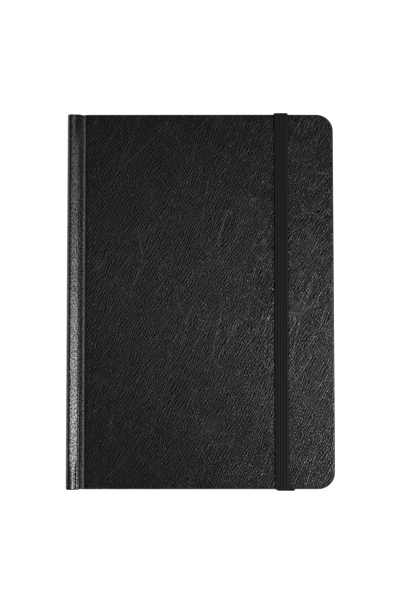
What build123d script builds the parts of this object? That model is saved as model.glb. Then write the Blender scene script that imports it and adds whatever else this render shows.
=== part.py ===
from build123d import *
import math
import os

# A closed A5 hardcover sketchbook lying on its back cover.
# X runs from the spine (negative) to the fore edge, +Y points to the head of the
# pages and Z goes up. The origin is under the middle of the book. Units are mm.

# ---- size of the closed case ----
CASE_WIDTH = 153.5
CASE_HEIGHT = 215.0
CASE_THICKNESS = 20.5
CORNER_RADIUS = 9.75
SPINE_X = -CASE_WIDTH / 2
FORE_X = CASE_WIDTH / 2
HALF_HEIGHT = CASE_HEIGHT / 2

# ---- leatherette, boards and end papers ----
SKIN = 0.5
TURN_IN = 0.3
TURN_IN_WIDTH = 15.0
BOARD_THICKNESS = 2.0
BOARD_START = 9.3
BOARD_GAP = 0.15
PASTEDOWN = 0.13
PAPER_INSET_FORE = 3.0
PAPER_INSET_HEAD = 2.5
LEAF_CORNER_RADIUS = 8.0
JOINT_PROUD = 0.4
BOARD_EDGE = 0.9
BOARD_CHAMFER = 1.0
BOARD_FIT = 0.02

# ---- profile of the joint strip, measured from the spine face and from the floor ----
ARC_HALF_WIDTH = 2.3
ARC_HALF_HEIGHT = 2.5
ARC_CENTRE_Z = 16.6
FOLD_ANGLE = 130.0
PLATEAU_END = 6.2
PLATEAU_END_Z = 18.8
GROOVE = 8.3
GROOVE_Z = 18.45
GROOVE_UNDER_Z = 18.02
GROOVE_GAP = 0.04
ROUNDING_END = 10.4
BOARD_FLANK = ((0.45, 0.15), (0.85, 0.75), (1.35, 1.55))
UNDER_LAP = 0.1
CUT_GAP = 0.02
FOLD_GAP_ANGLE = 2.0
WALL_TOP = 16.2

# ---- text block ----
LEAF = 0.135
LEAF_PITCH = 0.153
SHEETS_PER_SIGNATURE = 4
SIGNATURES = 12
BLOCK_TOP = 17.59
BLOCK_BACK = 2.5
TURNING_ROOT = 0.85
FLYLEAF_TOP = 17.79

# ---- layers on the back of the text block, measured from the spine face ----
# each layer reaches this far above the spine wall's top
THREAD_RISE = 0.5
LINING_RISE = 0.6
MULL_RISE = 0.8
GLUE_RISE = 1.0
STIFFENER_NEAR = 0.55
STIFFENER_FAR = 1.15
LINING_NEAR = 1.8
MULL_NEAR = 2.1
GLUE_NEAR = 2.35
THREAD_STATIONS = (-88.0, -70.0, -26.0, 26.0, 70.0, 88.0)
THREAD_WIDTH = 0.6
THREAD_GAP = 0.01
THREAD_ROOM = 0.05
LINING_INSET = 4.0
STIFFENER_FIT = 0.05
BAND_RADIUS = 0.75
BAND_SKIRT = 9.0
BAND_CLOTH = 0.12
BAND_SINK = 0.15
BAND_GAP = 0.1
BAND_END_GAP = 0.3

# ---- elastic closure ----
ELASTIC_WIDTH = 8.0
ELASTIC_THICKNESS = 0.8
ELASTIC_X = 46.5
ELASTIC_BACK_X = 50.0
ELASTIC_CLEARANCE = 0.05
SLOT_FROM_EDGE = 12.0
SLOT_WIDTH = 1.1
CHANNEL_DEPTH = 0.9
TAB_LENGTH = 14.0
ROOM_GAP = 0.15
TAB_END_GAP = 0.3

os.makedirs("parts", exist_ok=True)


def save(name, *solids):
    """Write one node; several equal pieces go into it as a group of solids."""
    shape = solids[0] if len(solids) == 1 else Compound(children=list(solids))
    export_step(shape, f"parts/{name}.step")


def block(x0, x1, y0, y1, z0, z1):
    """A plain box between two corners."""
    middle = ((x0 + x1) / 2, (y0 + y1) / 2, (z0 + z1) / 2)
    return Pos(*middle) * Box(x1 - x0, y1 - y0, z1 - z0)


def plate(x0, x1, half_height, z0, z1, radius):
    """A flat plate with its two fore-edge corners rounded."""
    body = block(x0, x1, -half_height, half_height, z0, z1)
    corners = body.edges().filter_by(Axis.Z).group_by(Axis.X)[-1]
    return fillet(corners, radius)


def along_y(points, half_height):
    """Extrude a closed outline, given as (distance from spine face, z), along Y."""
    corners = [(SPINE_X + d, 0, z) for d, z in points]
    return extrude(make_face(Polyline(*corners, close=True)), half_height, dir=(0, 1, 0), both=True)


def arc_points(start, end, inset, steps):
    """Points on the rounding between the spine wall and the top of the joint strip."""
    found = []
    for i in range(steps + 1):
        angle = math.radians(start + (end - start) * i / steps)
        across = (ARC_HALF_WIDTH - inset) * math.cos(angle)
        up = (ARC_HALF_HEIGHT - inset) * math.sin(angle)
        found.append((ARC_HALF_WIDTH + across, ARC_CENTRE_Z + up))
    return found


def flipped(shape):
    """The same piece for the back cover: mirrored in the middle plane of the book."""
    return mirror(shape, about=Plane.XY.offset(CASE_THICKNESS / 2))


def joint_strip(start_angle, groove):
    """Leatherette from the rounding at the spine to the groove beside the board."""
    outer = arc_points(start_angle, 90.0, 0.0, 8)
    inner = arc_points(90.0, start_angle, SKIN, 8)
    crest = [(PLATEAU_END, PLATEAU_END_Z), (groove, GROOVE_Z)]
    under = [(groove, GROOVE_UNDER_Z), (PLATEAU_END, PLATEAU_END_Z - SKIN)]
    return along_y(outer + crest + under + inner, HALF_HEIGHT + JOINT_PROUD)


def board_cover():
    """Leatherette over the board: top, three turned edges and the turn-ins inside."""
    top = CASE_THICKNESS
    low = top - SKIN - BOARD_THICKNESS
    groove = [(GROOVE, GROOVE_UNDER_Z), (GROOVE, GROOVE_Z)]
    flank = [(GROOVE + across, GROOVE_Z + up) for across, up in BOARD_FLANK]
    face = [(ROUNDING_END, top), (CASE_WIDTH, top), (CASE_WIDTH, low), (BOARD_START - UNDER_LAP, low)]
    full = along_y(groove + flank + face, HALF_HEIGHT)
    plan = plate(SPINE_X, FORE_X, HALF_HEIGHT, 0, CASE_THICKNESS + 1, CORNER_RADIUS)
    return full & plan


def board_space(inset, x_margin):
    """The room inside the leatherette that the board fills."""
    low = CASE_THICKNESS - SKIN - BOARD_THICKNESS
    high = CASE_THICKNESS - SKIN
    outline = [
        (BOARD_START + x_margin, low),
        (BOARD_START + x_margin, low + BOARD_EDGE),
        (BOARD_START + BOARD_CHAMFER + x_margin, high),
        (CASE_WIDTH - SKIN - inset, high),
        (CASE_WIDTH - SKIN - inset, low),
    ]
    half = HALF_HEIGHT - SKIN - inset
    radius = CORNER_RADIUS - SKIN - inset
    plan = plate(SPINE_X, FORE_X - SKIN - inset, half, 0, CASE_THICKNESS, radius)
    return along_y(outline, half) & plan


def turn_in_ring():
    """The strip of leatherette folded over onto the inner face of the board."""
    low = CASE_THICKNESS - SKIN - BOARD_THICKNESS
    half = HALF_HEIGHT - SKIN
    ring = plate(SPINE_X + BOARD_START, FORE_X - SKIN, half, low, low + TURN_IN, CORNER_RADIUS - SKIN)
    inside_x = FORE_X - SKIN - TURN_IN_WIDTH
    inside_half = half - TURN_IN_WIDTH
    middle = block(SPINE_X, inside_x, -inside_half, inside_half, low - 1, low + 1)
    return ring - middle


def cover_skin():
    """Leatherette of one cover from the groove to the fore edge, as if for the front."""
    return board_cover() - board_space(0.0, 0.0) + turn_in_ring()


def cover_board():
    """Stiff board of one cover, pressed thinner where the turn-ins lie."""
    return board_space(BOARD_GAP, BOARD_FIT) - turn_in_ring()


def pastedown(start):
    """End paper glued to the inside of one cover."""
    high = CASE_THICKNESS - SKIN - BOARD_THICKNESS
    x0 = SPINE_X + start
    x1 = FORE_X - PAPER_INSET_FORE
    return plate(x0, x1, HALF_HEIGHT - PAPER_INSET_HEAD, high - PASTEDOWN, high, LEAF_CORNER_RADIUS)


def leaf(start, top):
    """One leaf of paper lying flat, its upper face at the given height."""
    x1 = FORE_X - PAPER_INSET_FORE
    half = HALF_HEIGHT - PAPER_INSET_HEAD
    return plate(SPINE_X + start, x1, half, top - LEAF, top, LEAF_CORNER_RADIUS)


def folded_sheet(top, order, keep_front):
    """A sheet folded into two leaves around the sheets nested inside it."""
    leaves = 2 * SHEETS_PER_SIGNATURE
    start = BLOCK_BACK + order * LEAF_PITCH
    front_top = top - order * LEAF_PITCH
    back_top = top - (leaves - 1 - order) * LEAF_PITCH
    half = HALF_HEIGHT - PAPER_INSET_HEAD
    x0 = SPINE_X + start
    fold = block(x0, x0 + LEAF, -half, half, back_top - LEAF, front_top)
    sheet = leaf(start, back_top) + fold
    if keep_front:
        sheet += leaf(start, front_top)
    return sheet


def elastic_side(sign):
    """The elastic's run down one end of the closed book, leaning to the back slot."""
    gap = ELASTIC_CLEARANCE
    half = ELASTIC_WIDTH / 2
    low = CHANNEL_DEPTH + gap
    high = CASE_THICKNESS + gap + ELASTIC_THICKNESS
    corners = [
        (ELASTIC_X - half, 0, high),
        (ELASTIC_X + half, 0, high),
        (ELASTIC_BACK_X + half, 0, low),
        (ELASTIC_BACK_X - half, 0, low),
    ]
    side = extrude(make_face(Polyline(*corners, close=True)), ELASTIC_THICKNESS, dir=(0, sign, 0))
    return Pos(0, sign * (HALF_HEIGHT + gap), 0) * side


def elastic_band():
    """Front span of the elastic with its two end runs, in one length."""
    half = ELASTIC_WIDTH / 2
    reach = HALF_HEIGHT + ELASTIC_CLEARANCE + ELASTIC_THICKNESS
    low = CASE_THICKNESS + ELASTIC_CLEARANCE
    front = block(ELASTIC_X - half, ELASTIC_X + half, -reach, reach, low, low + ELASTIC_THICKNESS)
    return front + elastic_side(1) + elastic_side(-1)


def elastic_anchor(sign):
    """Elastic in the back channel, through the slot, ending in a glued tab."""
    half = ELASTIC_WIDTH / 2
    x0 = ELASTIC_BACK_X - half
    x1 = ELASTIC_BACK_X + half
    gap = ELASTIC_CLEARANCE
    outer = HALF_HEIGHT + gap + ELASTIC_THICKNESS
    slot = HALF_HEIGHT - SLOT_FROM_EDGE
    high = SKIN + BOARD_THICKNESS
    channel = block(x0, x1, slot - ELASTIC_THICKNESS, outer, gap, gap + ELASTIC_THICKNESS)
    through = block(x0, x1, slot - ELASTIC_THICKNESS, slot, gap, high)
    tab = block(x0, x1, slot - TAB_LENGTH, slot, high - ELASTIC_THICKNESS, high)
    anchor = channel + through + tab
    return anchor if sign > 0 else mirror(anchor, about=Plane.XZ)


def elastic_room(sign):
    """Channel, slot and tab recess pressed into the back cover for the elastic."""
    half = ELASTIC_WIDTH / 2 + ROOM_GAP
    x0 = ELASTIC_BACK_X - half
    x1 = ELASTIC_BACK_X + half
    slot = HALF_HEIGHT - SLOT_FROM_EDGE
    high = SKIN + BOARD_THICKNESS
    depth = CHANNEL_DEPTH
    channel = block(x0, x1, slot - SLOT_WIDTH, HALF_HEIGHT + 1, -1, depth)
    through = block(x0, x1, slot - SLOT_WIDTH, slot + ROOM_GAP, -1, high + 1)
    tab = block(x0, x1, slot - TAB_LENGTH - TAB_END_GAP, slot + ROOM_GAP, high - depth, high + 1)
    room = channel + through + tab
    return room if sign > 0 else mirror(room, about=Plane.XZ)


def end_band(sign):
    """Woven roll at one end of the text block's spine, on a cloth skirt."""
    low = CASE_THICKNESS - WALL_TOP + BAND_END_GAP
    high = WALL_TOP + BAND_END_GAP
    start = HALF_HEIGHT - PAPER_INSET_HEAD
    centre_y = start + BAND_GAP + BAND_RADIUS
    x0 = SPINE_X + LINING_NEAR - BAND_SINK
    roll = Pos(x0 + BAND_RADIUS, centre_y, (low + high) / 2) * Cylinder(BAND_RADIUS, high - low)
    skirt = block(x0, x0 + BAND_CLOTH, start - BAND_SKIRT, centre_y, low, high)
    band = roll + skirt
    return band if sign > 0 else mirror(band, about=Plane.XZ)


# ---- front cover ----
save("front_cover_skin", cover_skin())
save("front_board", cover_board())
save("front_pastedown", pastedown(BOARD_START))
save("front_joint_skin", joint_strip(FOLD_ANGLE, GROOVE - GROOVE_GAP))

# ---- fold of the leatherette at the spine's front edge ----
fold_outer = arc_points(180.0, FOLD_ANGLE + FOLD_GAP_ANGLE, 0.0, 6)
fold_inner = arc_points(FOLD_ANGLE + FOLD_GAP_ANGLE, 180.0, SKIN, 6)
fold_root = [(SKIN, WALL_TOP + CUT_GAP), (0.0, WALL_TOP + CUT_GAP)]
save("front_hinge_fold", along_y(fold_outer + fold_inner + fold_root, HALF_HEIGHT + JOINT_PROUD))

# ---- end paper between the front board and the text block ----
paper_high = CASE_THICKNESS - SKIN - BOARD_THICKNESS
paper_half = HALF_HEIGHT - PAPER_INSET_HEAD
hinge_x0 = SPINE_X + BLOCK_BACK
hinge_x1 = SPINE_X + BOARD_START - CUT_GAP
save(
    "front_endpaper_hinge",
    block(hinge_x0, hinge_x1, -paper_half, paper_half, paper_high - PASTEDOWN, paper_high),
)

# ---- back cover ----
back_room = elastic_room(1) + elastic_room(-1)
back_skin = cover_skin() + joint_strip(180.0, GROOVE + GROOVE_GAP)
save("back_cover_skin", flipped(back_skin) - back_room)
save("back_board", flipped(cover_board()) - back_room)
save("back_pastedown", flipped(pastedown(BLOCK_BACK)))

# ---- spine ----
wall_low = CASE_THICKNESS - ARC_CENTRE_Z + CUT_GAP
proud = HALF_HEIGHT + JOINT_PROUD
spine_wall = block(SPINE_X, SPINE_X + SKIN, -proud, proud, wall_low, WALL_TOP)
for side in (1, -1):
    near = side * (proud - SKIN)
    far = side * proud
    spine_wall += block(
        SPINE_X, SPINE_X + STIFFENER_FAR, min(near, far), max(near, far), wall_low, WALL_TOP
    )
save("spine_cover_skin", spine_wall)
stiffener_half = proud - SKIN - STIFFENER_FIT
save(
    "spine_stiffener",
    block(
        SPINE_X + STIFFENER_NEAR,
        SPINE_X + STIFFENER_FAR,
        -stiffener_half,
        stiffener_half,
        wall_low,
        WALL_TOP,
    ),
)

# ---- lining layers and sewing on the back of the text block ----
lining_low = CASE_THICKNESS - WALL_TOP
lining_half = paper_half - LINING_INSET
lining_x = SPINE_X + LINING_NEAR
mull_x = SPINE_X + MULL_NEAR
glue_x = SPINE_X + GLUE_NEAR
block_x = SPINE_X + BLOCK_BACK
save("spine_lining", block(lining_x, mull_x, -lining_half, lining_half, lining_low, WALL_TOP + LINING_RISE))
save("mull", block(mull_x, glue_x, -lining_half, lining_half, lining_low, WALL_TOP + MULL_RISE))
glue = block(glue_x, block_x, -paper_half, paper_half, lining_low - GLUE_RISE, WALL_TOP + GLUE_RISE)
threads = []
thread_top = WALL_TOP + THREAD_RISE
thread_half = THREAD_WIDTH / 2
room_half = thread_half + THREAD_ROOM
for y in THREAD_STATIONS:
    near = glue_x + THREAD_GAP
    far = block_x - THREAD_GAP
    threads.append(block(near, far, y - thread_half, y + thread_half, lining_low, thread_top))
    glue -= block(glue_x - 1, block_x + 1, y - room_half, y + room_half, lining_low - 0.1, thread_top + 0.1)
save("spine_glue", glue)
save("sewing_thread", *threads)
save("head_band", end_band(1))
save("tail_band", end_band(-1))

# ---- text block ----
for number in range(SIGNATURES):
    signature_top = BLOCK_TOP - number * 2 * SHEETS_PER_SIGNATURE * LEAF_PITCH
    sheets = []
    for order in range(SHEETS_PER_SIGNATURE):
        sheets.append(folded_sheet(signature_top, order, number > 0))
    save(f"signature_{number + 1:02d}", *sheets)
for order in range(SHEETS_PER_SIGNATURE):
    start = BLOCK_BACK + TURNING_ROOT
    save(f"turning_leaf_{order + 1}", leaf(start, BLOCK_TOP - order * LEAF_PITCH))
save("front_flyleaf", leaf(BLOCK_BACK + TURNING_ROOT, FLYLEAF_TOP))
save("back_flyleaf", flipped(leaf(BLOCK_BACK, FLYLEAF_TOP)))

# ---- elastic closure ----
save("elastic_band", elastic_band())
save("elastic_head_anchor", elastic_anchor(1))
save("elastic_tail_anchor", elastic_anchor(-1))
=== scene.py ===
import math
import random

import bpy
import numpy as np
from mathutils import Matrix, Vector


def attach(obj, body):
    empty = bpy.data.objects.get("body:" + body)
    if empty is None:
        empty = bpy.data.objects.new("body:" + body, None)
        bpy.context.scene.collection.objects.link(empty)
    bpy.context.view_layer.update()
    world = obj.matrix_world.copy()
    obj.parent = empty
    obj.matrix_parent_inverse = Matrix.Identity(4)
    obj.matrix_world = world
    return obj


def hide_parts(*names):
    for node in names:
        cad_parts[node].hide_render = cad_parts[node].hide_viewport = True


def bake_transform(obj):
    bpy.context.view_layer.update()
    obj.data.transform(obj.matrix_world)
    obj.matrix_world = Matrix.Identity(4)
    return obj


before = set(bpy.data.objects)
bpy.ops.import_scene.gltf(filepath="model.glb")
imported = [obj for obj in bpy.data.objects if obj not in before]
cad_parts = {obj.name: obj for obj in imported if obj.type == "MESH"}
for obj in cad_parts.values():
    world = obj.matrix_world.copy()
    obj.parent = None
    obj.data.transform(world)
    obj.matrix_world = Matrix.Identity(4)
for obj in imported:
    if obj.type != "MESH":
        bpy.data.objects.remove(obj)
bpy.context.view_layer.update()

# A closed A5 sketchbook in black grained leatherette, lying on its back cover.
# Shapes are written in millimetres and turned into metres when a mesh is made.
# Shader sizes, lights and the camera are in metres.
# d is the distance from the face of the spine, +Y points to the head of the pages.

MM = 0.001
SPINE_X = -76.75
FORE_X = 76.75
COVER_WIDTH = FORE_X - SPINE_X
HALF_HEIGHT = 107.5
PROUD_HALF = 107.9
THICKNESS = 20.5
CORNER_RADIUS = 9.75
SEAM = 7.4
LEATHER_THICK = 0.5
EDGE_ROLL = 1.0
UNDER_ROLL = 0.4
TURN_IN = 15.5

# elastic closure: its front run, its end runs, and the channel and slot in the back cover
RIBS = 5
RIB_HEIGHT = 0.06
BAND_HALF = 4.0
BAND_THICK = 0.8
BAND_GAP = 0.05
BAND_BEND = 0.75
BAND_FOOT = 1.25
BAND_REACH = HALF_HEIGHT + BAND_GAP + BAND_THICK / 2
BAND_FRONT_Z = THICKNESS + BAND_GAP + BAND_THICK / 2
BAND_BACK_Z = BAND_GAP + BAND_THICK / 2
FRONT_X = 46.5
BACK_X = 50.0
CHANNEL_DEPTH = 0.9
CHANNEL_SOFT = 0.2
CHANNEL_END = (94.3, 94.6)
CHANNEL_RUN_END = 97.0
TAB_Z = 2.1
TAB_START, TAB_END = 92.5, 82.0
BEND_STEPS = 6


# ---------------------------------------------------------------- meshes

def add_object(name, data):
    made = bpy.data.objects.new(name, data)
    bpy.context.scene.collection.objects.link(made)
    return made


def add_mesh(name, points, faces, sheet=None, grain=None, material=None, smooth=True):
    """A mesh from points in mm. sheet is the unfolded place of each point, in mm."""
    mesh = bpy.data.meshes.new(name)
    points = np.asarray(points, float)
    mesh.from_pydata((points * MM).tolist(), [], faces)
    if sheet is not None:
        flat = mesh.attributes.new("sheet", "FLOAT_VECTOR", "POINT")
        flat.data.foreach_set("vector", (np.asarray(sheet, float) * MM).astype(np.float32).ravel())
    if grain is not None:
        amount = mesh.attributes.new("grain", "FLOAT", "POINT")
        amount.data.foreach_set("value", np.asarray(grain, float).astype(np.float32))
    mesh.validate()
    if smooth:
        mesh.polygons.foreach_set("use_smooth", [True] * len(mesh.polygons))
    if material is not None:
        mesh.materials.append(material)
    return add_object(name, mesh)


def grid_faces(rows, columns, close_columns=False, flip=False, first=0):
    """Quads over a grid of rows x columns points stored row by row."""
    faces = []
    last_column = columns if close_columns else columns - 1
    for i in range(rows - 1):
        for j in range(last_column):
            a = first + i * columns + j
            b = first + i * columns + (j + 1) % columns
            c = b + columns
            e = a + columns
            faces.append((a, e, c, b) if flip else (a, b, c, e))
    return faces


def grid_border(rows, columns):
    """Indices round the outside of such a grid."""
    border = list(range(columns)) + [j * columns + columns - 1 for j in range(1, rows)]
    border += [(rows - 1) * columns + i for i in reversed(range(columns - 1))]
    return border + [j * columns for j in reversed(range(1, rows - 1))]


def smooth_step(low, high, value):
    t = np.clip((np.asarray(value, float) - low) / (high - low), 0.0, 1.0)
    return t * t * (3.0 - 2.0 * t)


def bump_at(value, centre, width):
    return np.exp(-(((np.asarray(value, float) - centre) / width) ** 2))


def path_normals(points):
    """Left-hand normals of an open path in a plane."""
    step = np.gradient(points, axis=0)
    length = np.linalg.norm(step, axis=1)[:, None]
    step = step / np.maximum(length, 1e-9)
    return np.stack([-step[:, 1], step[:, 0]], axis=1)


def path_length(points):
    step = np.linalg.norm(np.diff(points, axis=0), axis=1)
    return np.concatenate([[0.0], np.cumsum(step)])


# ---------------------------------------------------------------- profile of the case

# points up the spine wall, from its middle, and the quarter ellipse that rounds it over
WALL_Z = (10.25, 11.5, 12.8, 14.0, 15.0, 15.7, 16.2, 16.4)
ROUND_D, ROUND_Z = 2.3, 16.6
ROUND_WIDE, ROUND_HIGH = 2.3, 3.3
ROUND_STEPS = 18

# (d, z) down the joint strip, through the groove and up on to the board
STRIP = [
    (2.3, 19.9), (2.6, 19.83), (3.0, 19.71), (3.6, 19.51), (4.2, 19.3), (4.8, 19.09),
    (5.4, 18.88), (6.0, 18.67), (6.45, 18.52), (6.7, 18.46), (7.0, 18.44), (7.4, 18.44), (7.8, 18.43),
    (8.2, 18.42), (8.4, 18.46), (8.6, 18.58), (8.9, 18.86), (9.3, 19.22), (9.75, 19.57), (10.2, 19.89),
    (10.6, 20.13), (11.0, 20.31), (11.45, 20.44), (11.9, 20.5), (12.5, 20.5),
]
STRIP_D, STRIP_Z = np.array(STRIP).T

# folds along the strip near the tail, as height, d and width, and the part raised near the head
TAIL_FOLDS = ((-0.3, 5.4, 0.45), (0.12, 6.2, 0.35), (-0.2, 2.2, 0.9))
HEAD_RISE_D = (4.9, 6.5, 7.8, 8.4, 8.8)
HEAD_RISE = (0.0, 0.42, 0.5, 0.4, 0.0)


def strip_z(d):
    return np.interp(d, STRIP_D, STRIP_Z)


def under_z(d):
    """Inner face of the leatherette across the joint and the board."""
    return np.interp(d, [2.3, 6.2, 8.3, 9.2], [18.55, 18.22, 18.0, 18.0])


def half_extent(d):
    """Half the height of the case: the spine and joint stand a little proud of the boards."""
    return HALF_HEIGHT + (PROUD_HALF - HALF_HEIGHT) * (1 - smooth_step(7.0, 9.4, d))


def strip_relief(d, y):
    """Small folds and sinks in the leatherette of the front joint."""
    d = np.asarray(d, float)
    folds = sum(height * bump_at(d, centre, width) for height, centre, width in TAIL_FOLDS)
    near_tail = smooth_step(-88.0, -101.0, y)
    near_head = smooth_step(88.0, 99.0, y)
    wave = 0.018 * np.sin(y * 0.21 + 1.0) + 0.012 * np.sin(y * 0.53 + 0.4)
    on_strip = smooth_step(1.0, 2.5, d) * (1 - smooth_step(6.6, 7.4, d))
    return folds * near_tail + np.interp(d, HEAD_RISE_D, HEAD_RISE) * near_head + wave * on_strip


# ---------------------------------------------------------------- spine

SPINE_END_STEPS = 6
# grain on the strip, and what the spine wall adds to it
SPINE_GRAIN, WALL_GRAIN = 0.25, 0.2
# the inner face takes its pattern from another stretch of the sheet
INNER_SHEET_SHIFT = 40.0


def spine_outline():
    """Outer points (d, z) from the middle of the spine to the seam in the front joint."""
    outline = [(0.0, z) for z in WALL_Z]
    for t in np.linspace(math.pi, math.pi / 2, ROUND_STEPS + 1):
        outline.append((ROUND_D + ROUND_WIDE * math.cos(t), ROUND_Z + ROUND_HIGH * math.sin(t)))
    for d in [*np.arange(2.6, SEAM - 0.05, 0.3), SEAM]:
        outline.append((d, float(strip_z(d))))
    return np.array(outline)


def end_thickness(d):
    """Thickness at head and tail, where the leatherette is turned in over its lining."""
    return np.interp(d, [0.0, 2.0, 5.0, SEAM], [1.15, 1.0, 0.8, 0.42])


def spine_rows():
    """Rows from tail to head: (0, y) along the spine, (-1 or 1, angle) round its turned ends."""
    near_end = [98.0, 100.0, 101.5, 103.0, 104.2, 105.2, 106.0, 106.6, 107.0]
    turns = [math.pi / 2 * k / SPINE_END_STEPS for k in range(1, SPINE_END_STEPS + 1)]
    rows = [(-1, a) for a in reversed(turns)] + [(0, -y) for y in reversed(near_end)]
    rows += [(0, y) for y in np.arange(-96.0, 96.1, 2.4)] + [(0, y) for y in near_end]
    return rows + [(1, a) for a in turns]


def spine_leather(material):
    """Back joint, spine wall, rounding and front joint in one length of leatherette."""
    front = spine_outline()
    back = front[1:][::-1].copy()
    back[:, 1] = THICKNESS - back[:, 1]
    outer = np.concatenate([back, front])
    d = outer[:, 0]
    count = len(outer)
    normal = path_normals(outer)
    run = path_length(outer)
    u = SPINE_X + SEAM - (run[-1] - run)
    is_front = outer[:, 1] >= THICKNESS / 2
    end_thick = end_thickness(d)
    reach = half_extent(d)
    flat = np.zeros(count)
    rows = spine_rows()
    points = []
    sheet = []
    for side, value in rows:
        if side == 0:
            y = np.full(count, float(value))
            thick = LEATHER_THICK + (end_thick - LEATHER_THICK) * smooth_step(90.0, 96.0, abs(value))
            lift = flat
        else:
            y = side * (reach - end_thick / 2 * (1 - math.sin(value)))
            thick = end_thick * math.cos(value)
            lift = end_thick / 2 * (1 - math.cos(value))
        relief = np.where(is_front, strip_relief(d, np.clip(y, -107.0, 107.0)), 0.0)
        top = outer + normal * (relief - lift)[:, None]
        low = top - normal * thick[:, None]
        points.append(np.column_stack([SPINE_X + top[:, 0], y, top[:, 1]]))
        points.append(np.column_stack([SPINE_X + low[:, 0], y, low[:, 1]])[::-1])
        sheet.append(np.column_stack([u, y, flat]))
        sheet.append(np.column_stack([u + INNER_SHEET_SHIFT, y, flat])[::-1])
    points = np.concatenate(points)
    faces = grid_faces(len(rows), 2 * count, close_columns=True)
    grain = SPINE_GRAIN + WALL_GRAIN * (1 - smooth_step(0.0, 1.5, points[:, 0] - SPINE_X))
    return add_mesh("spine_leather", points, faces, np.concatenate(sheet), grain, material)


# ---------------------------------------------------------------- one cover

ROLL_STEPS = 6
COLUMN_CLEAR = 0.4
# grain left where the leatherette is pressed flat into the groove
JOINT_GRAIN = 0.12
# shares of the way in from the board's edge to the end of the turned-in leatherette
TURN_IN_SHARES = (0.06, 0.13, 0.2, 0.35, 0.6, 1.0)
# pleats of the turn-in round a corner: their height and how fast they follow each other
PLEAT_HEIGHT = 0.05
PLEAT_RATE = 34.0
BACK_SHEET_SHIFT = (311.0, 57.0, 0.0)


def cover_top(d, y):
    """Height of a cover's outer face."""
    z = strip_z(d) + strip_relief(d, y) * (1 - smooth_step(8.6, 9.0, d))
    # the board is uneven by a few hundredths of a mm
    warp = 0.05 * np.sin(d * 0.045 + 0.6) * np.cos(y * 0.031 - 0.4)
    warp += 0.03 * np.sin(d * 0.11 + y * 0.07)
    return z + warp * smooth_step(11.0, 22.0, d) * (1 - smooth_step(105.0, HALF_HEIGHT, np.abs(y)))


def channel_depth(d, y):
    """Depth of the channels in the back cover, in which the elastic's ends lie."""
    x = SPINE_X + d
    left, right = BACK_X - BAND_HALF, BACK_X + BAND_HALF
    across = smooth_step(left - CHANNEL_SOFT, left, x) * (1 - smooth_step(right, right + CHANNEL_SOFT, x))
    return CHANNEL_DEPTH * across * smooth_step(*CHANNEL_END, abs(y))


def cover_columns():
    """(d, turn) across a cover. turn is the angle round the fore-edge corner, None before it."""
    groove = [SEAM, 7.65, 7.9, 8.1, 8.25, 8.4, 8.52, 8.65, 8.77, 8.9, 9.05, 9.25, 9.5, 9.75, 9.95]
    shoulder = [10.1, 10.25, 10.4, 10.55, 10.75, 11.0, 11.3, 11.6, 12.0, 12.6, 13.6, 15.2]
    middle = [*np.arange(17.5, 118.0, 2.5)]
    under_band = [119.5, 121.0, 122.4, 122.7, 123.2, 124.5, 126.5, 128.5, 130.2, 130.7, 131.0, 132.0]
    fore_edge = [*np.arange(133.5, 143.2, 1.6)]
    corner_start = COVER_WIDTH - CORNER_RADIUS
    stations = groove + shoulder + middle + under_band + fore_edge
    columns = [(d, None) for d in stations if d < corner_start - COLUMN_CLEAR]
    for turn in np.radians(np.linspace(0.0, 90.0, 15)):
        columns.append((corner_start + (CORNER_RADIUS - EDGE_ROLL) * math.sin(turn), turn))
    return columns


def cover_rows():
    """Rows from tail to head, as shares of half the flat height."""
    full = HALF_HEIGHT - EDGE_ROLL
    near_edge = [full - v for v in (0.0, 0.4, 0.9, 1.6, 2.6, 4.0, 6.0, 8.5)]
    beside_channel_end = [94.25, 95.05]
    middle = [*np.arange(0.0, 92.0, 2.6)]
    shares = sorted(set(round(y / full, 6) for y in near_edge + beside_channel_end + middle))
    return [-share for share in reversed(shares) if share > 0] + shares


def edge_direction(turn, side):
    """Unit vector out of the cover at its tail (-1) or head (1), or at an angle round the corner."""
    return (0.0, side) if turn is None else (math.sin(turn), side * math.cos(turn))


def cover_border(columns, row_count):
    """(index, outward direction) along the tail, up the fore edge and back along the head."""
    last = len(columns) - 1
    border = [(i, edge_direction(turn, -1)) for i, (_, turn) in enumerate(columns)]
    border += [(j * len(columns) + last, (1.0, 0.0)) for j in range(1, row_count - 1)]
    head = (row_count - 1) * len(columns)
    return border + [(head + i, edge_direction(columns[i][1], 1)) for i in reversed(range(last + 1))]


def edge_rings(start, out):
    """Rings of points round the rounded board edge and in under the board."""
    x, y, z = start.T
    bottom = under_z(x - SPINE_X)
    roll = np.minimum(EDGE_ROLL, (z - bottom) / 2)
    small = np.minimum(UNDER_ROLL, roll)
    quarter = [math.pi / 2 * k / ROLL_STEPS for k in range(ROLL_STEPS + 1)]

    def ring(reach, height):
        return np.column_stack([x + out[:, 0] * reach, y + out[:, 1] * reach, height])

    rings = [ring(roll * math.sin(a), z - roll * (1 - math.cos(a))) for a in quarter[1:]]
    rings.append(ring(roll, (z - roll + bottom + small) / 2))
    rings += [ring(roll - small * (1 - math.cos(a)), bottom + small * (1 - math.sin(a))) for a in quarter]

    foot = rings[-1]
    inner_y = HALF_HEIGHT - TURN_IN
    target = np.column_stack([
        np.minimum(foot[:, 0], FORE_X - TURN_IN), np.clip(foot[:, 1], -inner_y, inner_y), foot[:, 2]
    ])
    at_corner = (out[:, 0] > 0.02) & (np.abs(out[:, 1]) > 0.02)
    pleats = np.sin(np.arctan2(np.abs(out[:, 1]), out[:, 0]) * PLEAT_RATE) * at_corner
    for share in TURN_IN_SHARES:
        turned = foot + (target - foot) * share
        turned[:, 2] += PLEAT_HEIGHT * math.sin(math.pi * share) * pleats
        rings.append(turned)
    return rings


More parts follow.
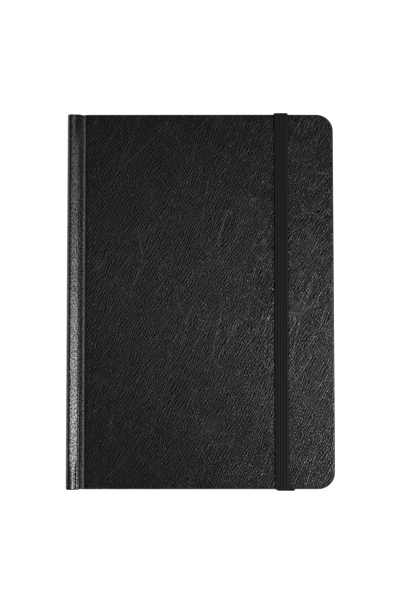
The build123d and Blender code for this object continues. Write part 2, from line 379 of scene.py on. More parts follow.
def cover_leather(name, material, is_back=False):
    """Leatherette of one cover: groove, rounded board edges, turned edges and turn-ins."""
    columns = cover_columns()
    rows = cover_rows()

    def outer_z(d, y):
        return float(cover_top(d, y)) - (float(channel_depth(d, y)) if is_back else 0.0)

    points = []
    for share in rows:
        for d, turn in columns:
            if turn is None:
                base = float(half_extent(d))
                half = base - min(EDGE_ROLL, (outer_z(d, base) - float(under_z(d))) / 2)
            else:
                half = HALF_HEIGHT - CORNER_RADIUS + (CORNER_RADIUS - EDGE_ROLL) * math.cos(turn)
            points.append((SPINE_X + d, share * half, outer_z(d, share * half)))
    sheet = [(x, y, 0.0) for x, y, _ in points]
    faces = grid_faces(len(rows), len(columns))

    border = cover_border(columns, len(rows))
    previous_ids = [index for index, _ in border]
    start = np.array([points[index] for index in previous_ids])
    out = np.array([direction for _, direction in border])
    previous = start
    run = np.zeros(len(border))
    for ring in edge_rings(start, out):
        run = run + np.linalg.norm(ring - previous, axis=1)
        flat = start[:, :2] + out * run[:, None]
        ids = [len(points) + n for n in range(len(border))]
        points.extend(ring)
        sheet.extend((u, v, 0.0) for u, v in flat)
        for n in range(len(border) - 1):
            faces.append((previous_ids[n], ids[n], ids[n + 1], previous_ids[n + 1]))
        previous, previous_ids = ring, ids

    points = np.array(points)
    sheet = np.array(sheet)
    grain = JOINT_GRAIN + (1 - JOINT_GRAIN) * smooth_step(10.6, 11.8, points[:, 0] - SPINE_X)
    if is_back:
        points[:, 2] = THICKNESS - points[:, 2]
        faces = [tuple(reversed(face)) for face in faces]
        sheet = sheet + BACK_SHEET_SHIFT
    return add_mesh(name, points, faces, sheet, grain, material)


# ---------------------------------------------------------------- shader helpers

# sockets of a Mix node that mixes colours
COLOUR_A, COLOUR_B, MIXED = 6, 7, 2


def grey(value):
    return (value, value, value, 1.0)


def new_material(name):
    made = bpy.data.materials.new(name)
    made.use_nodes = True
    return made, made.node_tree, made.node_tree.nodes["Principled BSDF"]


def add_node(tree, kind, inputs=None, **settings):
    made = tree.nodes.new(kind)
    for key, value in settings.items():
        setattr(made, key, value)
    for key, value in (inputs or {}).items():
        if isinstance(value, bpy.types.NodeSocket):
            tree.links.new(value, made.inputs[key])
        else:
            made.inputs[key].default_value = value
    return made


def calc(tree, operation, a, b=0.0):
    return add_node(tree, "ShaderNodeMath", {0: a, 1: b}, operation=operation).outputs[0]


def vector_calc(tree, operation, a, b):
    return add_node(tree, "ShaderNodeVectorMath", {0: a, 1: b}, operation=operation).outputs[0]


def sheet_place(tree):
    """Coordinates on the unfolded sheet, in metres."""
    return add_node(tree, "ShaderNodeAttribute", attribute_name="sheet").outputs["Vector"]


def object_place(tree):
    return add_node(tree, "ShaderNodeTexCoord").outputs["Object"]


def placed(tree, vector, scale, turn=0.0):
    """Coordinates turned about Z by so many degrees, then scaled."""
    inputs = {"Vector": vector, "Angle": math.radians(turn)}
    turned = add_node(tree, "ShaderNodeVectorRotate", inputs, rotation_type="Z_AXIS").outputs[0]
    return vector_calc(tree, "MULTIPLY", turned, scale)


def noise(tree, vector, scale, detail=2.0, roughness=0.5):
    inputs = {"Vector": vector, "Scale": scale, "Detail": detail, "Roughness": roughness}
    return add_node(tree, "ShaderNodeTexNoise", inputs).outputs["Fac"]


def remap(tree, value, low, high, to_low=0.0, to_high=1.0):
    inputs = {"Value": value, "From Min": low, "From Max": high, "To Min": to_low, "To Max": to_high}
    return add_node(tree, "ShaderNodeMapRange", inputs, interpolation_type="SMOOTHSTEP").outputs[0]


def mix_colours(tree, share, low, high):
    inputs = {"Factor": share, COLOUR_A: low, COLOUR_B: high}
    return add_node(tree, "ShaderNodeMix", inputs, data_type="RGBA").outputs[MIXED]


def bump(tree, height, distance, below=None):
    inputs = {"Height": height, "Distance": distance}
    if below is not None:
        inputs["Normal"] = below
    return add_node(tree, "ShaderNodeBump", inputs).outputs[0]


def ripples(tree, vector, period, lean, length, spread):
    """Close folds of one spacing, in metres, that lean by so many degrees from the X axis."""
    inputs = {
        "Vector": placed(tree, vector, scale=(1.0 / length, 1.0, 1.0), turn=-lean),
        "Scale": 1.0 / (period * spread),
        "Frequency": spread,
        "Anisotropy": 1.0,
        "Orientation": math.radians(90.0),
    }
    phase = add_node(tree, "ShaderNodeTexGabor", inputs).outputs["Phase"]
    return calc(tree, "SINE", calc(tree, "MULTIPLY", phase, 2 * math.pi))


def cell_edges(tree, vector, width, length, lean):
    """Distance from the edge of long cells, in cell widths, that lean from the X axis."""
    along = placed(tree, vector, scale=(width / length, 1.0, 1.0), turn=-lean)
    made = add_node(
        tree,
        "ShaderNodeTexVoronoi",
        {"Vector": along, "Scale": 1.0 / width, "Randomness": 1.0},
        feature="DISTANCE_TO_EDGE",
        voronoi_dimensions="2D",
    )
    return made.outputs["Distance"]


# ---------------------------------------------------------------- materials

# leatherette: close folds broken into small cells, and long creases, all leaning the same way
GRAIN_LEAN = 60.0
FOLD_PITCH = 0.0013
CELL_WIDTH, CELL_LENGTH = 0.0011, 0.0017
LONG_CREASE_WIDTH, LONG_CREASE_LENGTH = 0.013, 0.11
STEEP_CREASE_WIDTH, STEEP_CREASE_LENGTH, STEEP_CREASE_LEAN = 0.021, 0.16, 72.0
DRIFT = 0.0018
SWELL_DEPTH = 0.0003
CREASE_DEPTH = 0.00003
GRAIN_DEPTH = 0.00005

# elastic: the ribs' full width and the spacing of the weft
RIBBED_WIDTH = 0.0078
WEFT_PITCH = 0.0006
THREAD_PITCH = 0.0007


def leather_material():
    """Black grained leatherette; the grain attribute fades the grain out where it is pressed flat."""
    made, tree, shader = new_material("grained_leatherette")
    place = sheet_place(tree)
    grain = add_node(tree, "ShaderNodeAttribute", attribute_name="grain").outputs["Fac"]

    # a slow wander bends the longer lines
    drift = add_node(tree, "ShaderNodeTexNoise", {"Vector": place, "Scale": 50.0, "Detail": 1.0})
    bent = vector_calc(tree, "MULTIPLY", drift.outputs["Color"], (DRIFT, DRIFT, 0.0))
    wander = vector_calc(tree, "ADD", place, bent)

    fold = remap(tree, ripples(tree, wander, FOLD_PITCH, GRAIN_LEAN, length=1.1, spread=1.7), -1.0, 0.8)
    cells = remap(tree, cell_edges(tree, place, CELL_WIDTH, CELL_LENGTH, GRAIN_LEAN), 0.0, 0.35)
    pebble = noise(tree, place, scale=1900.0, detail=1.0, roughness=0.6)
    swell = noise(tree, place, scale=38.0)

    long_edges = cell_edges(tree, wander, LONG_CREASE_WIDTH, LONG_CREASE_LENGTH, GRAIN_LEAN)
    steep_edges = cell_edges(tree, wander, STEEP_CREASE_WIDTH, STEEP_CREASE_LENGTH, STEEP_CREASE_LEAN)
    long_lines = remap(tree, long_edges, 0.0, 0.019, 1.0, 0.0)
    steep_lines = remap(tree, steep_edges, 0.0, 0.011, 1.0, 0.0)
    where = remap(tree, noise(tree, place, scale=26.0, detail=0.0), 0.38, 0.7)
    creases = calc(tree, "MULTIPLY", calc(tree, "MAXIMUM", long_lines, steep_lines), where)
    creases = calc(tree, "MULTIPLY", creases, grain)

    crown = calc(tree, "ADD", calc(tree, "MULTIPLY", fold, 0.6), calc(tree, "MULTIPLY", cells, 0.6))
    normal = bump(tree, swell, SWELL_DEPTH)
    normal = bump(tree, creases, CREASE_DEPTH, below=normal)
    normal = bump(tree, calc(tree, "MULTIPLY", crown, grain), GRAIN_DEPTH, below=normal)
    normal = bump(tree, pebble, GRAIN_DEPTH, below=normal)

    # valleys of the grain are duller than its crowns; plain areas are sandy
    crowns = calc(tree, "MULTIPLY", fold, remap(tree, cells, 0.0, 1.0, 0.2, 1.0))
    crowns = calc(tree, "MULTIPLY", crowns, remap(tree, pebble, 0.3, 0.7, 0.4, 1.6))
    grained = calc(tree, "MULTIPLY", crowns, calc(tree, "MULTIPLY", grain, 1.16))
    sand = remap(tree, noise(tree, place, scale=1300.0, detail=0.0), 0.36, 0.64, 0.08, 1.05)
    plain = calc(tree, "MULTIPLY", sand, calc(tree, "SUBTRACT", 1.0, grain))
    sheen = calc(tree, "ADD", grained, plain)
    sheen = calc(tree, "ADD", sheen, calc(tree, "MULTIPLY", creases, 0.4))

    tone = noise(tree, place, scale=55.0, detail=3.0)
    colour = mix_colours(tree, tone, (0.0040, 0.0040, 0.0041, 1.0), (0.0065, 0.0065, 0.0066, 1.0))
    tree.links.new(colour, shader.inputs["Base Color"])
    tree.links.new(remap(tree, tone, 0.2, 0.8, 0.22, 0.29), shader.inputs["Roughness"])
    tree.links.new(sheen, shader.inputs["Specular IOR Level"])
    tree.links.new(normal, shader.inputs["Normal"])
    return made


def surface(name, low, high, tone_scale, roughness, on_sheet):
    """A mottled matt finish; returns the material, its tree, shader and coordinates."""
    made, tree, shader = new_material(name)
    place = sheet_place(tree) if on_sheet else object_place(tree)
    tone = noise(tree, place, scale=tone_scale, detail=4.0, roughness=0.6)
    tree.links.new(mix_colours(tree, tone, low, high), shader.inputs["Base Color"])
    shader.inputs["Roughness"].default_value = roughness
    shader.inputs["Specular IOR Level"].default_value = 0.3
    return made, tree, shader, place


def paper_material(name, low, high, tooth, on_sheet=True):
    """Paper: cloudy formation, fine fibres and a felt-side tooth so many metres deep."""
    made, tree, shader, place = surface(name, low, high, 220.0, 0.85, on_sheet)
    fibres = noise(tree, placed(tree, place, scale=(1.0, 0.25, 1.0), turn=20.0), scale=2400.0, detail=3.0)
    felt = noise(tree, place, scale=1100.0)
    height = calc(tree, "ADD", calc(tree, "MULTIPLY", fibres, 0.6), felt)
    tree.links.new(bump(tree, height, tooth), shader.inputs["Normal"])
    return made


def board_material():
    """Grey board: pressed pulp with darker and lighter chips."""
    low, high = (0.16, 0.15, 0.135, 1), (0.27, 0.255, 0.23, 1)
    made, tree, shader, place = surface("grey_board", low, high, 900.0, 0.92, False)
    pulp = noise(tree, placed(tree, place, scale=(1.0, 1.0, 3.0)), scale=1500.0, detail=4.0)
    tree.links.new(bump(tree, pulp, 0.00006), shader.inputs["Normal"])
    return made


def weave_material(name, low, high, pitch, depth, on_sheet=False):
    """Plain weave with so many metres between threads."""
    made, tree, shader, place = surface(name, low, high, 700.0, 0.8, on_sheet)
    parts = add_node(tree, "ShaderNodeSeparateXYZ", {0: place})
    across = parts.outputs["X"] if on_sheet else parts.outputs["Z"]
    turn = 2 * math.pi / pitch
    warp = calc(tree, "SINE", calc(tree, "MULTIPLY", across, turn))
    weft = calc(tree, "SINE", calc(tree, "MULTIPLY", parts.outputs["Y"], turn))
    fuzz = noise(tree, place, scale=3500.0)
    height = calc(tree, "ADD", calc(tree, "MULTIPLY", warp, weft), calc(tree, "MULTIPLY", fuzz, 0.8))
    tree.links.new(bump(tree, height, depth), shader.inputs["Normal"])
    return made


def glue_material():
    """Glue brushed on across the spine and dried."""
    low, high = (0.5, 0.47, 0.38, 1), (0.62, 0.59, 0.5, 1)
    made, tree, shader, place = surface("dried_glue", low, high, 300.0, 0.4, False)
    brushed = noise(tree, placed(tree, place, scale=(1.0, 0.15, 1.0)), scale=1400.0, detail=3.0)
    tree.links.new(bump(tree, brushed, 0.00005), shader.inputs["Normal"])
    return made


def thread_material():
    """Two-ply linen thread, the plies running round it aslant."""
    low, high = (0.55, 0.51, 0.42, 1), (0.7, 0.66, 0.56, 1)
    made, tree, shader, place = surface("linen_thread", low, high, 1500.0, 0.7, False)
    parts = add_node(tree, "ShaderNodeSeparateXYZ", {0: place})
    slant = calc(tree, "ADD", calc(tree, "MULTIPLY", parts.outputs["X"], 0.6), parts.outputs["Z"])
    slant = calc(tree, "ADD", slant, calc(tree, "MULTIPLY", parts.outputs["Y"], 0.7))
    plies = calc(tree, "SINE", calc(tree, "MULTIPLY", slant, 2 * math.pi / THREAD_PITCH))
    tree.links.new(bump(tree, plies, 0.00005), shader.inputs["Normal"])
    return made


def elastic_material():
    """Black woven elastic; the grooves between its ribs do not shine."""
    made, tree, shader = new_material("woven_elastic")
    place = sheet_place(tree)
    parts = add_node(tree, "ShaderNodeSeparateXYZ", {0: place})
    weft = calc(tree, "SINE", calc(tree, "MULTIPLY", parts.outputs["Y"], 2 * math.pi / WEFT_PITCH))
    fuzz = noise(tree, place, scale=2600.0)
    height = calc(tree, "ADD", calc(tree, "MULTIPLY", weft, 0.4), fuzz)
    rib_turn = calc(tree, "MULTIPLY", parts.outputs["X"], math.pi * RIBS / RIBBED_WIDTH)
    rib = calc(tree, "ABSOLUTE", calc(tree, "COSINE", rib_turn))
    tone = noise(tree, place, scale=160.0)
    tree.links.new(mix_colours(tree, tone, grey(0.0028), grey(0.0048)), shader.inputs["Base Color"])
    tree.links.new(remap(tree, rib, 0.0, 0.8, 0.0, 0.22), shader.inputs["Specular IOR Level"])
    tree.links.new(bump(tree, height, 0.00003), shader.inputs["Normal"])
    shader.inputs["Roughness"].default_value = 0.62
    return made


# ---------------------------------------------------------------- elastic closure

# (y, z) of an end run where it leaves its channel through the slot and reaches the tab inside
SLOT_PATH = (
    (96.4, 0.5), (95.95, 0.72), (95.7, 1.1), (95.55, 1.45), (95.25, 1.8), (94.75, 2.02), (94.0, TAB_Z),
)
EDGE_SOFT = 0.12
SIDE_ROUND, SIDE_HIGH = 0.03, 0.15


def band_section():
    """(across, height) round the band: ribbed faces and soft edges."""
    upper = []
    for a in np.linspace(-1.0, 1.0, RIBS * 4 + 1):
        rib = RIB_HEIGHT * abs(math.sin(math.pi * RIBS * (a + 1) / 2))
        edge = EDGE_SOFT * max(0.0, (abs(a) - 0.93) / 0.07) ** 2
        upper.append((a * (BAND_HALF - EDGE_SOFT), BAND_THICK / 2 - RIB_HEIGHT + rib - edge))
    inner = BAND_HALF - SIDE_ROUND
    right = [(inner, SIDE_HIGH), (BAND_HALF, 0.0), (inner, -SIDE_HIGH)]
    lower = [(a, -h) for a, h in reversed(upper)]
    left = [(-inner, -SIDE_HIGH), (-BAND_HALF, 0.0), (-inner, SIDE_HIGH)]
    return upper + right + lower + left


def sweep_band(name, line, material):
    """Sweep the band's section along points (x, y, z) that turn in the Y-Z plane."""
    line = np.array(line, float)
    step = np.gradient(line, axis=0)
    section = band_section()
    count = len(section)
    points = []
    sheet = []
    for middle, ahead, run in zip(line, step, path_length(line)):
        along = np.array([0.0, ahead[1], ahead[2]])
        along /= np.linalg.norm(along)
        up = np.array([0.0, -along[2], along[1]])
        for across, height in section:
            points.append(middle + np.array([across, 0, 0]) + up * height)
            sheet.append((across, run, height))
    faces = grid_faces(len(line), count, close_columns=True, flip=True)
    faces.append(tuple(range(count)))
    faces.append(tuple(reversed(range((len(line) - 1) * count, len(line) * count))))
    return add_mesh(name, points, faces, sheet, None, material)


def leaning_x(side, drop):
    """X of the band this far below its front run: its end runs lean over to the slots in the back."""
    low, high = (-0.4, 1.8) if side < 0 else (1.0, 19.0)
    return FRONT_X + (BACK_X - FRONT_X) * float(smooth_step(low, high, drop))


def end_run(side):
    """Middle of the band from its foot at the back up over one edge of the cover."""
    bend_z = BAND_FRONT_Z - BAND_BEND
    places = [(BAND_REACH, z) for z in np.linspace(BAND_FOOT, bend_z, 22)]
    for k in range(1, BEND_STEPS + 1):
        a = math.pi / 2 * k / BEND_STEPS
        places.append((BAND_REACH - BAND_BEND * (1 - math.cos(a)), bend_z + BAND_BEND * math.sin(a)))
    return [(leaning_x(side, BAND_FRONT_Z - z), side * y, z) for y, z in places]


def band_line():
    """Middle of the band from the tail's back edge over the front to the head's back edge."""
    flat_end = BAND_REACH - BAND_BEND - 1.0
    across_front = []
    for y in np.linspace(-flat_end, flat_end, 90):
        x = FRONT_X + 0.12 * math.sin(y * 0.02)
        z = BAND_FRONT_Z + 0.015 * math.sin(y * 0.3)
        across_front.append((x, y, z))
    return end_run(-1) + across_front + end_run(1)[::-1]


def anchor_line(side):
    """Middle of the band from the end run's foot along the back to its glued tab."""
    places = [(BAND_REACH, BAND_FOOT)]
    for k in range(1, BEND_STEPS + 1):
        a = math.pi / 2 * k / BEND_STEPS
        y = BAND_REACH - BAND_BEND * (1 - math.cos(a))
        z = BAND_BACK_Z + BAND_BEND * (1 - math.sin(a))
        places.append((y, z))
    places += [(y, BAND_BACK_Z) for y in np.linspace(BAND_REACH - BAND_BEND - 1.0, CHANNEL_RUN_END, 8)]
    places += SLOT_PATH
    places += [(y, TAB_Z) for y in np.linspace(TAB_START, TAB_END, 5)]
    return [(BACK_X, side * y, z) for y, z in places]


# ---------------------------------------------------------------- paper

LEAF_START = -73.65
LEAF_END = 73.75
LEAF_HALF = 105.0
LEAF_RADIUS = 8.0
LEAF_THICK = 0.135
PITCH = 0.153
BLOCK_TOP = 17.59
SHEETS = 4
SIGNATURES = 12
FOLD_STEPS = 8
CORNER_CLEAR = 0.05
FRONT_FLYLEAF_TOP = 17.79
BACK_FLYLEAF_TOP = 2.845

# trimmed sizes of the sewn sheets and the single leaves, with how much one differs from the next
SHEET_END, SHEET_END_SPREAD = LEAF_END - 0.12, 0.06
SINGLE_END, SINGLE_END_SPREAD = LEAF_END - 0.1, 0.05
PAGE_HALF, PAGE_HALF_SPREAD = LEAF_HALF - 0.1, 0.04
SHIFT_SPREAD = 0.04
SEED = 11

# each leaf takes its cloudiness from its own stretch of the pattern, so many mm further along
UNDER_FACE_PATTERN = 3.0
SHEET_PATTERN = (13.0, 29.0)
SIGNATURE_PATTERN = 40.0
LEAF_PATTERN = 17.0
FIRST_LEAF = 65
PASTEDOWN_PATTERN = (500.0, 300.0)
JOINT_PATTERN, JOINT_UNDER_PATTERN = 700.0, 760.0

# front pastedown: the step over the turned-in leatherette's edge, and its heights
STEP_HEIGHT = 0.07
STEP_INSET = (14.2, 15.8)
PASTEDOWN_START = -67.45
PASTEDOWN_Z = (17.87, 18.0)

# end paper in the joint: d and z of the middle of its lower fold, and the fold's radius
JOINT_FOLD_D, JOINT_FOLD_Z, JOINT_FOLD_RADIUS = 1.45, 17.7825, 0.1525
JOINT_FOLD_STEPS = 12
FOLDED_THICK, FLAT_THICK = 0.08, 0.13
JOINT_END = 9.33


def plate(x1, half, low, high, stations, rows, shift=0.0, relief=None):
    """A leaf between two heights, square at its first station and rounded at x1."""
    centre_x, centre_y = x1 - LEAF_RADIUS, half - LEAF_RADIUS
    columns = [(x, half) for x in stations if x < centre_x - CORNER_CLEAR]
    for turn in np.radians(np.linspace(0.0, 90.0, 9)):
        columns.append((centre_x + LEAF_RADIUS * math.sin(turn), centre_y + LEAF_RADIUS * math.cos(turn)))
    points = []
    flat = []
    for is_under, level in enumerate((high, low)):
        for share in rows:
            for x, reach in columns:
                y = share * reach + shift
                z = level + (relief(x, y) if relief and is_under else 0.0)
                points.append((x, y, z))
                flat.append((x, y, UNDER_FACE_PATTERN if is_under else 0.0))
    size = len(rows) * len(columns)
    faces = grid_faces(len(rows), len(columns)) + grid_faces(len(rows), len(columns), flip=True, first=size)
    border = grid_border(len(rows), len(columns))
    for a, b in zip(border, border[1:] + border[:1]):
        faces.append((a, a + size, b + size, b))
    return points, faces, flat


def fold_strip(centre_z, outer):
    """The rounded back of one folded sheet."""
    points = []
    flat = []
    for y in (-PAGE_HALF, PAGE_HALF):
        for radius in (outer, outer - LEAF_THICK):
            for k in range(FOLD_STEPS + 1):
                turned = math.pi * k / FOLD_STEPS
                a = math.pi / 2 + turned
                points.append((LEAF_START + radius * math.cos(a), y, centre_z + radius * math.sin(a)))
                flat.append((LEAF_START - radius * turned, y, 0.0))
    n = FOLD_STEPS + 1
    faces = []
    for k in range(FOLD_STEPS):
        faces.append((k, 2 * n + k, 2 * n + k + 1, k + 1))
        faces.append((n + k, n + k + 1, 3 * n + k + 1, 3 * n + k))
        faces.append((k, k + 1, n + k + 1, n + k))
        faces.append((2 * n + k, 3 * n + k, 3 * n + k + 1, 2 * n + k + 1))
    return points, faces, flat


def join(parts, offset):
    """One set of points, faces and flat places from several, each with its own stretch of pattern."""
    points, faces, flat = [], [], []
    step_x, step_y = SHEET_PATTERN
    for n, (some_points, some_faces, some_flat) in enumerate(parts):
        first = len(points)
        points += some_points
        faces += [tuple(first + i for i in face) for face in some_faces]
        flat += [(x + offset + step_x * n, y + step_y * n, z) for x, y, z in some_flat]
    return points, faces, flat


def signature(number, material, rng):
    """Four folded sheets; the first signature's upper leaves are pieces of their own."""
    top = BLOCK_TOP - PITCH * 2 * SHEETS * (number - 1)
    parts = []
    for k in range(SHEETS if number == 1 else 0, 2 * SHEETS):
        high = top - PITCH * k
        low = high - LEAF_THICK
        x1 = SHEET_END + rng.gauss(0.0, SHEET_END_SPREAD)
        half = PAGE_HALF + rng.gauss(0.0, PAGE_HALF_SPREAD)
        shift = rng.gauss(0.0, SHIFT_SPREAD)
        parts.append(plate(x1, half, low, high, [LEAF_START], [-1.0, 1.0], shift=shift))
    centre = top - PITCH * (2 * SHEETS - 1) / 2 - LEAF_THICK / 2
    for k in range(SHEETS):
        parts.append(fold_strip(centre, PITCH * (2 * SHEETS - 1 - 2 * k) / 2 + LEAF_THICK / 2))
    points, faces, flat = join(parts, SIGNATURE_PATTERN * number)
    return add_mesh(f"signature_{number:02d}_sheets", points, faces, flat, None, material, smooth=False)


def single_leaf(name, high, material, rng, pattern):
    """One leaf with enough stations near its fold to curl as it turns."""
    near_fold = np.arange(LEAF_START, -58.0, 0.55)
    curl = np.arange(-57.5, -30.0, 1.1)
    rest = np.arange(-29.0, 64.0, 5.5)
    stations = [*near_fold, *curl, *rest]
    rows = np.linspace(-1.0, 1.0, 25)
    half = PAGE_HALF + rng.gauss(0.0, PAGE_HALF_SPREAD)
    x1 = SINGLE_END + rng.gauss(0.0, SINGLE_END_SPREAD)
    leaf = plate(x1, half, high - LEAF_THICK, high, stations, rows)
    points, faces, flat = join([leaf], LEAF_PATTERN * pattern)
    return add_mesh(name, points, faces, flat, None, material, smooth=False)


def front_pastedown(material):
    """End paper glued over the board, with the step of the turned-in leatherette showing through."""
    def step(x, y):
        inset = min(FORE_X - x, HALF_HEIGHT - abs(y))
        return STEP_HEIGHT * float(smooth_step(*STEP_INSET, inset))

    stations = [*np.arange(PASTEDOWN_START, 56.0, 4.0), *np.arange(57.0, 65.5, 0.55)]
    at_step = np.linspace(0.865, 0.895, 9)
    rows = [-1.0, *-at_step[::-1], *np.linspace(-0.8, 0.8, 17), *at_step, 1.0]
    low, high = PASTEDOWN_Z
    points, faces, flat = plate(LEAF_END, LEAF_HALF, low, high, stations, rows, relief=step)
    shift_x, shift_y = PASTEDOWN_PATTERN
    flat = [(x + shift_x, y + shift_y, z) for x, y, z in flat]
    return add_mesh("front_pastedown_sheet", points, faces, flat, None, material, smooth=False)


def end_paper_joint(material):
    """End paper across the joint, with the slack it needs lying folded under it."""
    foot = JOINT_FOLD_Z - JOINT_FOLD_RADIUS
    top = JOINT_FOLD_Z + JOINT_FOLD_RADIUS
    path = [(d, foot, FOLDED_THICK) for d in (3.05, 2.6, 2.1, 1.7)]
    for k in range(JOINT_FOLD_STEPS + 1):
        share = k / JOINT_FOLD_STEPS
        a = -math.pi * (0.5 + share)
        d = JOINT_FOLD_D + JOINT_FOLD_RADIUS * math.cos(a)
        z = JOINT_FOLD_Z + JOINT_FOLD_RADIUS * math.sin(a)
        path.append((d, z, FOLDED_THICK + (FLAT_THICK - FOLDED_THICK) * share))
    path += [(d, top, FLAT_THICK) for d in [*np.arange(1.8, 9.35, 0.5), JOINT_END]]
    d, z, thick = np.array(path).T
    line = np.column_stack([d, z])
    run = path_length(line)
    reach = path_normals(line) * thick[:, None] / 2
    upper, lower = line + reach, line - reach
    count = len(path)
    rows = np.linspace(-LEAF_HALF, LEAF_HALF, 15)
    points = []
    flat = []
    for y in rows:
        points += [(SPINE_X + upper[i, 0], y, upper[i, 1]) for i in range(count)]
        points += [(SPINE_X + lower[i, 0], y, lower[i, 1]) for i in reversed(range(count))]
        flat += [(run[i] + JOINT_PATTERN, y, 0.0) for i in range(count)]
        flat += [(run[i] + JOINT_UNDER_PATTERN, y, 0.0) for i in reversed(range(count))]
    faces = grid_faces(len(rows), 2 * count, close_columns=True)
    faces.append(tuple(reversed(range(2 * count))))
    faces.append(tuple(range((len(rows) - 1) * 2 * count, len(rows) * 2 * count)))
    return add_mesh("end_paper_joint", points, faces, flat, None, material)


# ---------------------------------------------------------------- head and tail bands

BAND_LOW, BAND_HIGH = 4.6, 16.5
ROLL_X, ROLL_Y, ROLL_RADIUS = -74.35, 105.85, 0.75
ROLL_PITCH, ROLL_AROUND = 0.12, 14
SKIRT_X, SKIRT_LONG, SKIRT_THICK = -75.1, 9.85, 0.12
SKIRT_PATTERN = 20.0
STITCH = 0.85


def end_band(name, side, material):
    """A woven roll over the ends of the folds, on a cloth skirt glued to the spine."""
    points = []
    flat = []
    rings = int((BAND_HIGH - BAND_LOW) / ROLL_PITCH)
    for z in np.linspace(BAND_LOW, BAND_HIGH, rings + 1):
        for k in range(ROLL_AROUND):
            a = 2 * math.pi * k / ROLL_AROUND
            slant = z + 0.25 * math.sin(a)
            radius = ROLL_RADIUS * (0.86 + 0.14 * abs(math.sin(math.pi * slant / STITCH)))
            points.append((ROLL_X + radius * math.cos(a), side * (ROLL_Y + radius * math.sin(a)), z))
            flat.append((z, ROLL_RADIUS * a, 0.0))
    faces = grid_faces(rings + 1, ROLL_AROUND, close_columns=True, flip=side < 0)
    low_end = tuple(reversed(range(ROLL_AROUND)))
    high_end = tuple(range(rings * ROLL_AROUND, (rings + 1) * ROLL_AROUND))
    faces += [end if side > 0 else tuple(reversed(end)) for end in (low_end, high_end)]
    first = len(points)
    levels = np.linspace(BAND_LOW, BAND_HIGH, 12)
    spots = np.linspace(ROLL_Y - SKIRT_LONG, ROLL_Y, 10)
    for x in (SKIRT_X, SKIRT_X + SKIRT_THICK):
        for z in levels:
            for y in spots:
                points.append((x, side * y, z))
                flat.append((z, y + SKIRT_PATTERN, 0.0))
    size = len(levels) * len(spots)
    faces += grid_faces(len(levels), len(spots), first=first, flip=side > 0)
    faces += grid_faces(len(levels), len(spots), first=first + size, flip=side < 0)
    border = grid_border(len(levels), len(spots))
    for a, b in zip(border, border[1:] + border[:1]):
        rim = (first + a, first + b, first + b + size, first + a + size)
        faces.append(rim if side > 0 else tuple(reversed(rim)))
    return add_mesh(name, points, faces, flat, None, material)


# ---------------------------------------------------------------- build

PAGE_LOW, PAGE_HIGH = (0.66, 0.62, 0.52, 1), (0.74, 0.70, 0.60, 1)
END_LOW, END_HIGH = (0.62, 0.58, 0.48, 1), (0.71, 0.67, 0.56, 1)
LINING_LOW, LINING_HIGH = (0.25, 0.15, 0.08, 1), (0.38, 0.24, 0.13, 1)
MULL_LOW, MULL_HIGH = (0.58, 0.55, 0.48, 1), (0.72, 0.69, 0.61, 1)

leather = leather_material()
elastic = elastic_material()
page_paper = paper_material("drawing_paper", PAGE_LOW, PAGE_HIGH, 0.00003)
end_paper = paper_material("end_paper", END_LOW, END_HIGH, 0.00002)
end_paper_cad = paper_material("end_paper_hidden", END_LOW, END_HIGH, 0.00002, False)
lining_paper = paper_material("brown_lining", LINING_LOW, LINING_HIGH, 0.00004, False)
board = board_material()
mull_cloth = weave_material("mull_gauze", MULL_LOW, MULL_HIGH, 0.0012, 0.00012)
band_cloth = weave_material("black_band", grey(0.004), grey(0.012), 0.0005, 0.00004, True)
glue = glue_material()
linen = thread_material()

spine = spine_leather(leather)
front = cover_leather("front_cover_leather", leather)
back = cover_leather("back_cover_leather", leather, is_back=True)

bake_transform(spine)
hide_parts("spine_cover_skin", "front_hinge_fold", "front_joint_skin")
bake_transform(front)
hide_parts("front_cover_skin")
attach(back, "back_cover_and_block")
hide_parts("back_cover_skin")

band = sweep_band("elastic_band_woven", band_line(), elastic)
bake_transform(band)
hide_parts("elastic_band")
for side, end_name in ((1, "head"), (-1, "tail")):
    anchor = sweep_band(f"elastic_{end_name}_return", anchor_line(side), elastic)
    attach(anchor, "back_cover_and_block")
    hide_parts(f"elastic_{end_name}_anchor")

rng = random.Random(SEED)
for number in range(1, SIGNATURES + 1):
    sheets = signature(number, page_paper, rng)
    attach(sheets, "back_cover_and_block")
    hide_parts(f"signature_{number:02d}")

# for each leaf, the CAD node it stands in for and the height of its upper face
LEAF_NODE = {"flyleaf": ("front_flyleaf", FRONT_FLYLEAF_TOP)}
for k in range(1, 5):
    LEAF_NODE[f"leaf_{k}"] = (f"turning_leaf_{k}", BLOCK_TOP - PITCH * (k - 1))
for pattern, (body, (node, high)) in enumerate(LEAF_NODE.items(), FIRST_LEAF):
    paper = end_paper if body == "flyleaf" else page_paper
    leaf = single_leaf(node + "_sheet", high, paper, rng, pattern)
    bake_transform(leaf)
    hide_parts(node)

last_pattern = FIRST_LEAF + len(LEAF_NODE)
last_leaf = single_leaf("back_flyleaf_sheet", BACK_FLYLEAF_TOP, end_paper, rng, last_pattern)
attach(last_leaf, "back_cover_and_block")
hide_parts("back_flyleaf")

inside_front = front_pastedown(end_paper)
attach(inside_front, "front_cover")
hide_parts("front_pastedown")

joint_paper = end_paper_joint(end_paper)
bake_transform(joint_paper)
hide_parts("front_endpaper_hinge")

for side, end_name in ((1, "head"), (-1, "tail")):
    woven = end_band(f"{end_name}_band_woven", side, band_cloth)
    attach(woven, "back_cover_and_block")
    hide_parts(f"{end_name}_band")

# CAD nodes that keep their own shape
CAD_FINISH = {
    "front_board": board,
    "back_board": board,
    "spine_stiffener": board,
    "back_pastedown": end_paper_cad,
    "spine_lining": lining_paper,
    "mull": mull_cloth,
    "spine_glue": glue,
    "sewing_thread": linen,
}
for name, material in CAD_FINISH.items():
    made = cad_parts[name]
    made.data.materials.clear()
    made.data.materials.append(material)


# ---------------------------------------------------------------- floor, world, lights, camera

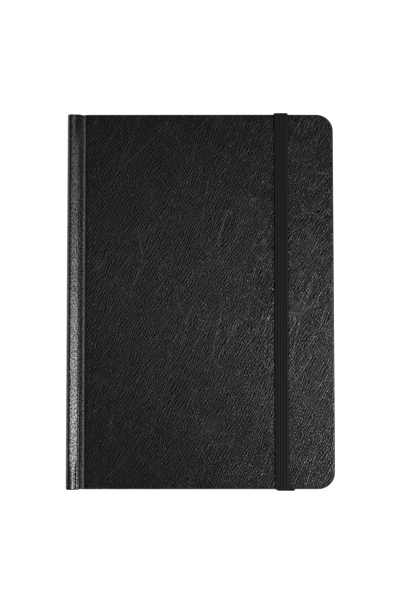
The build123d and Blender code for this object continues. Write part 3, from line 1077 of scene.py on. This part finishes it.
FLOOR_HALF = 6000.0
FLOOR_Z = -0.4
FLOOR_GLOW = 0.98
WORLD_LOW_STRENGTH, WORLD_HIGH_STRENGTH = 0.4, 0.03
SEEN_STRENGTH = 1.05
WHITE = (1, 1, 1, 1)


def floor_material():
    """White that glows of itself, so that the object casts next to no shadow on it."""
    made, tree, shader = new_material("floor_white")
    tone = noise(tree, object_place(tree), scale=3.0)
    tree.links.new(mix_colours(tree, tone, grey(0.24), grey(0.26)), shader.inputs["Base Color"])
    shader.inputs["Roughness"].default_value = 0.9
    shader.inputs["Specular IOR Level"].default_value = 0.0
    shader.inputs["Emission Color"].default_value = WHITE
    shader.inputs["Emission Strength"].default_value = FLOOR_GLOW
    return made


def studio_world():
    """White to the camera; to the object, dim overhead and brighter low down."""
    world = bpy.data.worlds.new("studio")
    world.use_nodes = True
    tree = world.node_tree
    lighting = tree.nodes["Background"]
    lighting.inputs["Color"].default_value = WHITE
    direction = add_node(tree, "ShaderNodeTexCoord").outputs["Generated"]
    height = add_node(tree, "ShaderNodeSeparateXYZ", {0: direction}).outputs["Z"]
    strength = remap(tree, height, 0.1, 0.9, WORLD_LOW_STRENGTH, WORLD_HIGH_STRENGTH)
    tree.links.new(strength, lighting.inputs["Strength"])
    seen = add_node(tree, "ShaderNodeBackground", {"Color": WHITE, "Strength": SEEN_STRENGTH})
    to_camera = add_node(tree, "ShaderNodeLightPath").outputs["Is Camera Ray"]
    mix = add_node(tree, "ShaderNodeMixShader", {0: to_camera, 1: lighting.outputs[0], 2: seen.outputs[0]})
    tree.links.new(mix.outputs[0], tree.nodes["World Output"].inputs["Surface"])
    return world


def softbox(name, place, aim, size, radiance):
    """A rectangular light of even brightness, in metres."""
    data = bpy.data.lights.new(name, "AREA")
    data.shape = "RECTANGLE"
    data.size, data.size_y = size
    data.energy = radiance * math.pi * size[0] * size[1]
    made = add_object(name, data)
    made.location = place
    direction = Vector(aim) - Vector(place)
    made.rotation_euler = direction.to_track_quat("-Z", "Y").to_euler()
    made.visible_camera = False


floor_corners = [(x * FLOOR_HALF, y * FLOOR_HALF, FLOOR_Z) for x, y in ((-1, -1), (1, -1), (1, 1), (-1, 1))]
floor = add_mesh("floor", floor_corners, [(0, 1, 2, 3)], material=floor_material())

bpy.context.scene.world = studio_world()

# name, place, aim, size and radiance
SOFTBOXES = (
    ("key_softbox", (0.82, -0.19, 1.03), (0.0, -0.02, 0.0), (0.40, 0.82), 13.2),
    ("key_end_softbox", (0.82, 0.43, 1.03), (0.0, 0.0, 0.0), (0.40, 0.36), 3.5),
    ("tail_softbox", (0.0, -1.12, 0.76), (0.0, 0.0, 0.0), (1.5, 0.42), 4.5),
    ("top_softbox", (0.0, 0.05, 1.30), (0.0, 0.0, 0.0), (0.26, 0.30), 2.0),
    ("fill_softbox", (-1.3, -0.1, 0.35), (0.0, 0.0, 0.0), (0.9, 0.6), 1.6),
)
for box in SOFTBOXES:
    softbox(*box)

LENS_MM = 71.28
CAMERA_PLACE = (0.00042, -0.03902, 0.700)
CAMERA_TURN_DEGREES = (3.276, 0.0195, -0.0255)

camera_data = bpy.data.cameras.new("camera")
camera_data.sensor_width = 36.0
camera_data.lens = LENS_MM
camera_data.clip_start = 0.01
camera_data.clip_end = 30.0
camera = add_object("camera", camera_data)
camera.location = CAMERA_PLACE
camera.rotation_euler = [math.radians(a) for a in CAMERA_TURN_DEGREES]
bpy.context.scene.camera = camera
bpy.context.scene.view_settings.view_transform = "Standard"
